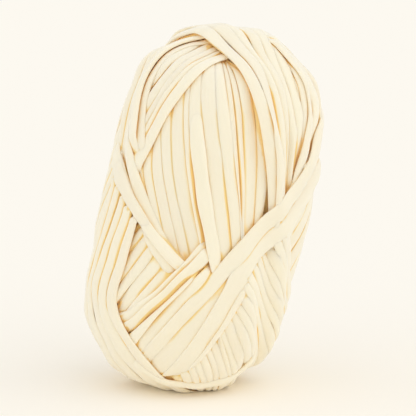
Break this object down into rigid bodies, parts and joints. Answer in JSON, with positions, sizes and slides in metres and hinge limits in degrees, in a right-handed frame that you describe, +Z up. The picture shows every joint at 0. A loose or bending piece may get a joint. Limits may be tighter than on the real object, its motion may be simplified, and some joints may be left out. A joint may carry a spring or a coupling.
{
  "type": "skein of t-shirt yarn",
  "caption": "Long round-ended ball of flat jersey t-shirt yarn wound in crossing runs, standing upright with a slight lean.",
  "frame": {"origin": "middle of the flat spot that the skein stands on", "axes": "+Z up, close to the winding axis; the top of the skein leans towards +X; its front faces -Y"},
  "size_m": [0.153, 0.1281, 0.2344],
  "materials": {
    "yarn": "soft matt cotton jersey, cream"
  },
  "bodies": {
    "root": {"skein": "yarn"}
  },
  "joints": []
}
